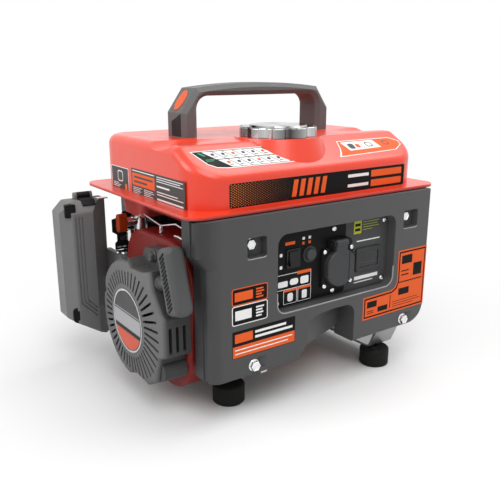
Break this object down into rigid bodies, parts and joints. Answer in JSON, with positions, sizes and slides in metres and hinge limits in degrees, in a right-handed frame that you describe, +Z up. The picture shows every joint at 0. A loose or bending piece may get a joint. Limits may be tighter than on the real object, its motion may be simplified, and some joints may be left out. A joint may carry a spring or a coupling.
{
  "type": "portable generator",
  "caption": "Small petrol generator with a pressed steel fuel tank, carrying handle, recoil starter, air filter, moulded front panel with a lidded socket, and rubber feet.",
  "frame": {"origin": "floor point under the middle of the overall box", "axes": "+Z up, +X along the control panel to the right as seen from the front, +Y from the panel to the rear"},
  "size_m": [0.393, 0.2842, 0.343],
  "materials": {
    "red_paint": "gloss red-orange enamel",
    "red_blower": "satin dark red enamel",
    "grey_plastic": "fine grain moulded grey plastic",
    "black_plastic": "matt black plastic",
    "gloss_black": "gloss black plastic",
    "red_plastic": "gloss red plastic",
    "orange_trim": "satin orange plastic",
    "rubber_black": "matt black rubber",
    "black_steel": "black powder coat",
    "bright_steel": "zinc plated steel",
    "dark_steel": "bare steel",
    "chrome_cap": "bright chrome",
    "cast_alloy": "sand cast alloy",
    "brass_contact": "plain brass",
    "clear_window": "clear window",
    "rope_fibre": "braided cord",
    "filter_foam": "open cell foam"
  },
  "bodies": {
    "frame": {"rubber_feet": "rubber_black", "foot_rails": "black_steel", "tank_upper_shell": "red_paint", "tank_lower_pan": "red_paint", "carry_handle": "grey_plastic", "handle_inserts": "orange_trim", "front_cover": "grey_plastic", "rear_cover": "grey_plastic", "tank_rails": "black_steel", "tank_mounts": "rubber_black", "control_plate": "gloss_black", "panel_screws": "bright_steel", "switch_housing": "gloss_black", "breaker_housing": "black_plastic", "socket_body": "black_plastic", "socket_contacts": "brass_contact", "socket_lid_pin": "bright_steel", "voltmeter": "gloss_black", "voltmeter_window": "clear_window", "recoil_cover": "grey_plastic", "recoil_badge": "bright_steel", "flange_bolts": "bright_steel", "blower_housing": "red_blower", "crankcase": "cast_alloy", "shaft_bearings": "dark_steel", "cylinder_barrel": "cast_alloy", "cylinder_head": "cast_alloy", "valve_cover": "black_steel", "spark_plug": "bright_steel", "plug_cap": "rubber_black", "ignition_coil": "dark_steel", "oil_drain_plug": "bright_steel", "alternator_frame": "cast_alloy", "wound_stator": "dark_steel", "alternator_end_cover": "cast_alloy", "muffler": "dark_steel", "muffler_guard": "bright_steel", "intake_spacer": "black_plastic", "carburettor": "cast_alloy", "air_filter_base": "black_plastic", "air_filter_cover": "grey_plastic", "air_filter_element": "filter_foam", "fuel_valve": "bright_steel", "fuel_hose": "rubber_black"},
    "crank": {"crankshaft": "dark_steel", "flywheel_fan": "cast_alloy", "starter_cup": "bright_steel", "rotor": "dark_steel"},
    "starter_pulley": {"recoil_pulley": "black_plastic"},
    "starter_grip": {"recoil_grip": "grey_plastic", "recoil_rope": "rope_fibre"},
    "cap_carrier": {"cap_seal": "rubber_black"},
    "cap": {"fuel_cap": "chrome_cap"},
    "socket_flap": {"socket_lid": "black_plastic"},
    "rocker": {"switch_rocker": "gloss_black"},
    "reset_button": {"breaker_button": "gloss_black"},
    "valve_lever": {"fuel_valve_lever": "red_plastic"},
    "choke": {"choke_lever": "bright_steel"},
    "clip": {"air_filter_clip": "black_plastic"},
    "dipstick": {"oil_dipstick": "black_plastic"}
  },
  "joints": [
    {"name": "crank_spin", "type": "hinge", "parent": "frame", "child": "crank", "pos_m": [0, -0.017, 0.0915], "axis": [1, 0, 0], "continuous": true},
    {"name": "recoil_pull", "type": "slide", "parent": "frame", "child": "starter_grip", "axis": [0, -0.9563, 0.2924], "range_m": [0, 0.6], "stiffness_N_per_m": 15},
    {"name": "pulley_turn", "type": "hinge", "parent": "frame", "child": "starter_pulley", "pos_m": [-0.157, -0.017, 0.0915], "axis": [1, 0, 0], "range_deg": [0, 905]},
    {"name": "cap_lift", "type": "slide", "parent": "frame", "child": "cap_carrier", "axis": [0, 0, 1], "range_m": [0, 0.06]},
    {"name": "cap_turn", "type": "hinge", "parent": "cap_carrier", "child": "cap", "pos_m": [0.01, -0.052, 0.29], "axis": [0, 0, 1], "range_deg": [0, 90]},
    {"name": "socket_flap_open", "type": "hinge", "parent": "frame", "child": "socket_flap", "pos_m": [0.0386, -0.1318, 0.1735], "axis": [-1, 0, 0], "range_deg": [0, 100], "stiffness_Nm_per_rad": 0.02},
    {"name": "engine_switch", "type": "hinge", "parent": "frame", "child": "rocker", "pos_m": [-0.024, -0.125, 0.1645], "axis": [1, 0, 0], "range_deg": [0, 20]},
    {"name": "breaker_press", "type": "slide", "parent": "frame", "child": "reset_button", "axis": [0, 1, 0], "range_m": [0, 0.003], "stiffness_N_per_m": 300},
    {"name": "fuel_valve_turn", "type": "hinge", "parent": "frame", "child": "valve_lever", "pos_m": [-0.131, 0.058, 0.183], "axis": [1, 0, 0], "range_deg": [0, 90]},
    {"name": "choke_turn", "type": "hinge", "parent": "frame", "child": "choke", "pos_m": [-0.112, 0.086, 0.1403], "axis": [0, 0, 1], "range_deg": [0, 75]},
    {"name": "filter_clip_lift", "type": "hinge", "parent": "frame", "child": "clip", "pos_m": [-0.1605, 0.116, 0.2103], "axis": [-1, 0, 0], "range_deg": [0, 100]},
    {"name": "dipstick_turn", "type": "hinge", "parent": "frame", "child": "dipstick", "pos_m": [-0.028, 0.028, 0.058], "axis": [0, 1, 0], "range_deg": [0, 720]}
  ],
  "couplings": [
    {"joint": "pulley_turn", "follows": "recoil_pull", "rad_per_m": 26.316}
  ]
}
